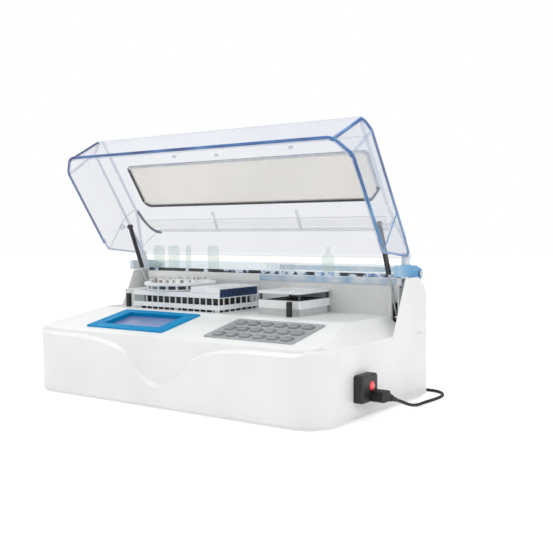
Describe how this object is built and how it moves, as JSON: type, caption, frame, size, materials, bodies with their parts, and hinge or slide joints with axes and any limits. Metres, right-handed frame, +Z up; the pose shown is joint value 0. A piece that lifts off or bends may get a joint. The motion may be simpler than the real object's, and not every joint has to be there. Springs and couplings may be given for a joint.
{
  "type": "benchtop chemistry analyzer",
  "caption": "White benchtop chemistry analyzer with a raised clear hood on gas struts, a blue display, a grey keypad, a sample carousel, reagent racks and a mains lead.",
  "frame": {"origin": "bottom centre of the unit with its hood open, on the table, the mains lead left out", "axes": "+X to the unit's right as seen from the front, +Y to the rear, +Z up"},
  "size_m": [0.872, 0.6013, 0.605],
  "materials": {
    "white_gloss": "smooth white painted moulding",
    "bezel_blue": "glossy blue",
    "screen_glass": "display behind glass",
    "keypad_grey": "satin grey",
    "key_grey": "soft domed keys",
    "black_plastic": "fine grained black",
    "button_red": "lit red lens",
    "cord_rubber": "matt black sheath",
    "hood_clear": "clear bluish acrylic",
    "window_clear": "clear pane",
    "gasket_dark": "dark seal",
    "acrylic_blue": "pale blue acrylic",
    "steel": "brushed",
    "black_steel": "satin black enamel",
    "tub_grey": "light grey moulding",
    "rack_dark": "dark rack with pale bars",
    "plate_white": "white",
    "plate_alu": "bead blasted",
    "bottle_green": "pale green glass",
    "galvanised": "zinc plated",
    "board_green": "circuit board",
    "foot_rubber": "ribbed black rubber"
  },
  "bodies": {
    "main_unit": {"base_plate": "galvanised", "front_cover": "white_gloss", "left_side_panel": "white_gloss", "right_side_panel": "white_gloss", "rear_cover": "white_gloss", "deck_console": "white_gloss", "work_tub": "tub_grey", "display_bezel": "bezel_blue", "display_screen": "screen_glass", "keypad_plate": "keypad_grey", "power_inlet": "black_plastic", "inlet_connector": "cord_rubber", "mains_cord": "cord_rubber", "cord_coil": "cord_rubber", "mains_plug": "cord_rubber", "hinge_brackets": "steel", "hinge_pins": "steel", "strut_brackets": "black_steel", "feet": "foot_rubber", "screws": "steel", "rack_base": "rack_dark", "rack_plate": "plate_white", "reagent_box": "rack_dark", "reagent_lid": "plate_white", "reaction_block": "plate_alu", "reaction_plate": "plate_white", "bottle_tray": "acrylic_blue", "reagent_bottles": "bottle_green", "rack_posts": "black_plastic", "power_supply": "galvanised", "main_board": "board_green"},
    "hood": {"hood_shell": "hood_clear", "hood_window": "window_clear", "window_gasket": "gasket_dark", "hood_arms": "acrylic_blue", "strut_studs": "steel"},
    "strut_foot_right": {"strut_rod_right": "steel"},
    "strut_foot_left": {"strut_rod_left": "steel"},
    "strut_top_right": {"strut_cylinder_right": "black_steel"},
    "strut_top_left": {"strut_cylinder_left": "black_steel"},
    "carousel": {"sample_carousel": "plate_white"},
    "power_switch": {"power_button": "button_red"},
    "key_01": {"key_01": "key_grey"},
    "key_02": {"key_02": "key_grey"},
    "key_03": {"key_03": "key_grey"},
    "key_04": {"key_04": "key_grey"},
    "key_05": {"key_05": "key_grey"},
    "key_06": {"key_06": "key_grey"},
    "key_07": {"key_07": "key_grey"},
    "key_08": {"key_08": "key_grey"},
    "key_09": {"key_09": "key_grey"},
    "key_10": {"key_10": "key_grey"},
    "key_11": {"key_11": "key_grey"},
    "key_12": {"key_12": "key_grey"},
    "key_13": {"key_13": "key_grey"},
    "key_14": {"key_14": "key_grey"},
    "key_15": {"key_15": "key_grey"},
    "key_16": {"key_16": "key_grey"},
    "key_17": {"key_17": "key_grey"},
    "key_18": {"key_18": "key_grey"}
  },
  "joints": [
    {"name": "hood_hinge", "type": "hinge", "parent": "main_unit", "child": "hood", "pos_m": [-0.01, 0.203, 0.276], "axis": [1, 0, 0], "range_deg": [0, 56.7]},
    {"name": "strut_foot_hinge_right", "type": "hinge", "parent": "main_unit", "child": "strut_foot_right", "pos_m": [0.3615, 0.154, 0.18], "axis": [1, 0, 0], "range_deg": [0, 45.7]},
    {"name": "strut_slide_right", "type": "slide", "parent": "strut_foot_right", "child": "strut_top_right", "axis": [0, -0.362, 0.9322], "range_m": [-0.0973, 0]},
    {"name": "strut_foot_hinge_left", "type": "hinge", "parent": "main_unit", "child": "strut_foot_left", "pos_m": [-0.3815, 0.154, 0.18], "axis": [1, 0, 0], "range_deg": [0, 45.7]},
    {"name": "strut_slide_left", "type": "slide", "parent": "strut_foot_left", "child": "strut_top_left", "axis": [0, -0.362, 0.9322], "range_m": [-0.0973, 0]},
    {"name": "key_01_press", "type": "slide", "parent": "main_unit", "child": "key_01", "axis": [0, 0.1982, -0.9802], "range_m": [0, 0.0015], "stiffness_N_per_m": 300, "springref_m": -0.0015},
    {"name": "key_02_press", "type": "slide", "parent": "main_unit", "child": "key_02", "axis": [0, 0.1982, -0.9802], "range_m": [0, 0.0015], "stiffness_N_per_m": 300, "springref_m": -0.0015},
    {"name": "key_03_press", "type": "slide", "parent": "main_unit", "child": "key_03", "axis": [0, 0.1982, -0.9802], "range_m": [0, 0.0015], "stiffness_N_per_m": 300, "springref_m": -0.0015},
    {"name": "key_04_press", "type": "slide", "parent": "main_unit", "child": "key_04", "axis": [0, 0.1982, -0.9802], "range_m": [0, 0.0015], "stiffness_N_per_m": 300, "springref_m": -0.0015},
    {"name": "key_05_press", "type": "slide", "parent": "main_unit", "child": "key_05", "axis": [0, 0.1982, -0.9802], "range_m": [0, 0.0015], "stiffness_N_per_m": 300, "springref_m": -0.0015},
    {"name": "key_06_press", "type": "slide", "parent": "main_unit", "child": "key_06", "axis": [0, 0.1982, -0.9802], "range_m": [0, 0.0015], "stiffness_N_per_m": 300, "springref_m": -0.0015},
    {"name": "key_07_press", "type": "slide", "parent": "main_unit", "child": "key_07", "axis": [0, 0.1982, -0.9802], "range_m": [0, 0.0015], "stiffness_N_per_m": 300, "springref_m": -0.0015},
    {"name": "key_08_press", "type": "slide", "parent": "main_unit", "child": "key_08", "axis": [0, 0.1982, -0.9802], "range_m": [0, 0.0015], "stiffness_N_per_m": 300, "springref_m": -0.0015},
    {"name": "key_09_press", "type": "slide", "parent": "main_unit", "child": "key_09", "axis": [0, 0.1982, -0.9802], "range_m": [0, 0.0015], "stiffness_N_per_m": 300, "springref_m": -0.0015},
    {"name": "key_10_press", "type": "slide", "parent": "main_unit", "child": "key_10", "axis": [0, 0.1982, -0.9802], "range_m": [0, 0.0015], "stiffness_N_per_m": 300, "springref_m": -0.0015},
    {"name": "key_11_press", "type": "slide", "parent": "main_unit", "child": "key_11", "axis": [0, 0.1982, -0.9802], "range_m": [0, 0.0015], "stiffness_N_per_m": 300, "springref_m": -0.0015},
    {"name": "key_12_press", "type": "slide", "parent": "main_unit", "child": "key_12", "axis": [0, 0.1982, -0.9802], "range_m": [0, 0.0015], "stiffness_N_per_m": 300, "springref_m": -0.0015},
    {"name": "key_13_press", "type": "slide", "parent": "main_unit", "child": "key_13", "axis": [0, 0.1982, -0.9802], "range_m": [0, 0.0015], "stiffness_N_per_m": 300, "springref_m": -0.0015},
    {"name": "key_14_press", "type": "slide", "parent": "main_unit", "child": "key_14", "axis": [0, 0.1982, -0.9802], "range_m": [0, 0.0015], "stiffness_N_per_m": 300, "springref_m": -0.0015},
    {"name": "key_15_press", "type": "slide", "parent": "main_unit", "child": "key_15", "axis": [0, 0.1982, -0.9802], "range_m": [0, 0.0015], "stiffness_N_per_m": 300, "springref_m": -0.0015},
    {"name": "key_16_press", "type": "slide", "parent": "main_unit", "child": "key_16", "axis": [0, 0.1982, -0.9802], "range_m": [0, 0.0015], "stiffness_N_per_m": 300, "springref_m": -0.0015},
    {"name": "key_17_press", "type": "slide", "parent": "main_unit", "child": "key_17", "axis": [0, 0.1982, -0.9802], "range_m": [0, 0.0015], "stiffness_N_per_m": 300, "springref_m": -0.0015},
    {"name": "key_18_press", "type": "slide", "parent": "main_unit", "child": "key_18", "axis": [0, 0.1982, -0.9802], "range_m": [0, 0.0015], "stiffness_N_per_m": 300, "springref_m": -0.0015},
    {"name": "power_press", "type": "slide", "parent": "main_unit", "child": "power_switch", "axis": [-1, 0, 0], "range_m": [0, 0.002], "stiffness_N_per_m": 500, "springref_m": -0.001},
    {"name": "carousel_spin", "type": "hinge", "parent": "main_unit", "child": "carousel", "pos_m": [-0.184, 0.049, 0.232], "axis": [0, 0, 1], "continuous": true}
  ],
  "couplings": [
    {"joint": "strut_foot_hinge_right", "follows": "hood_hinge", "ratio": 0.8052},
    {"joint": "strut_slide_right", "follows": "hood_hinge", "m_per_rad": -0.0983},
    {"joint": "strut_foot_hinge_left", "follows": "hood_hinge", "ratio": 0.8052},
    {"joint": "strut_slide_left", "follows": "hood_hinge", "m_per_rad": -0.0983}
  ]
}
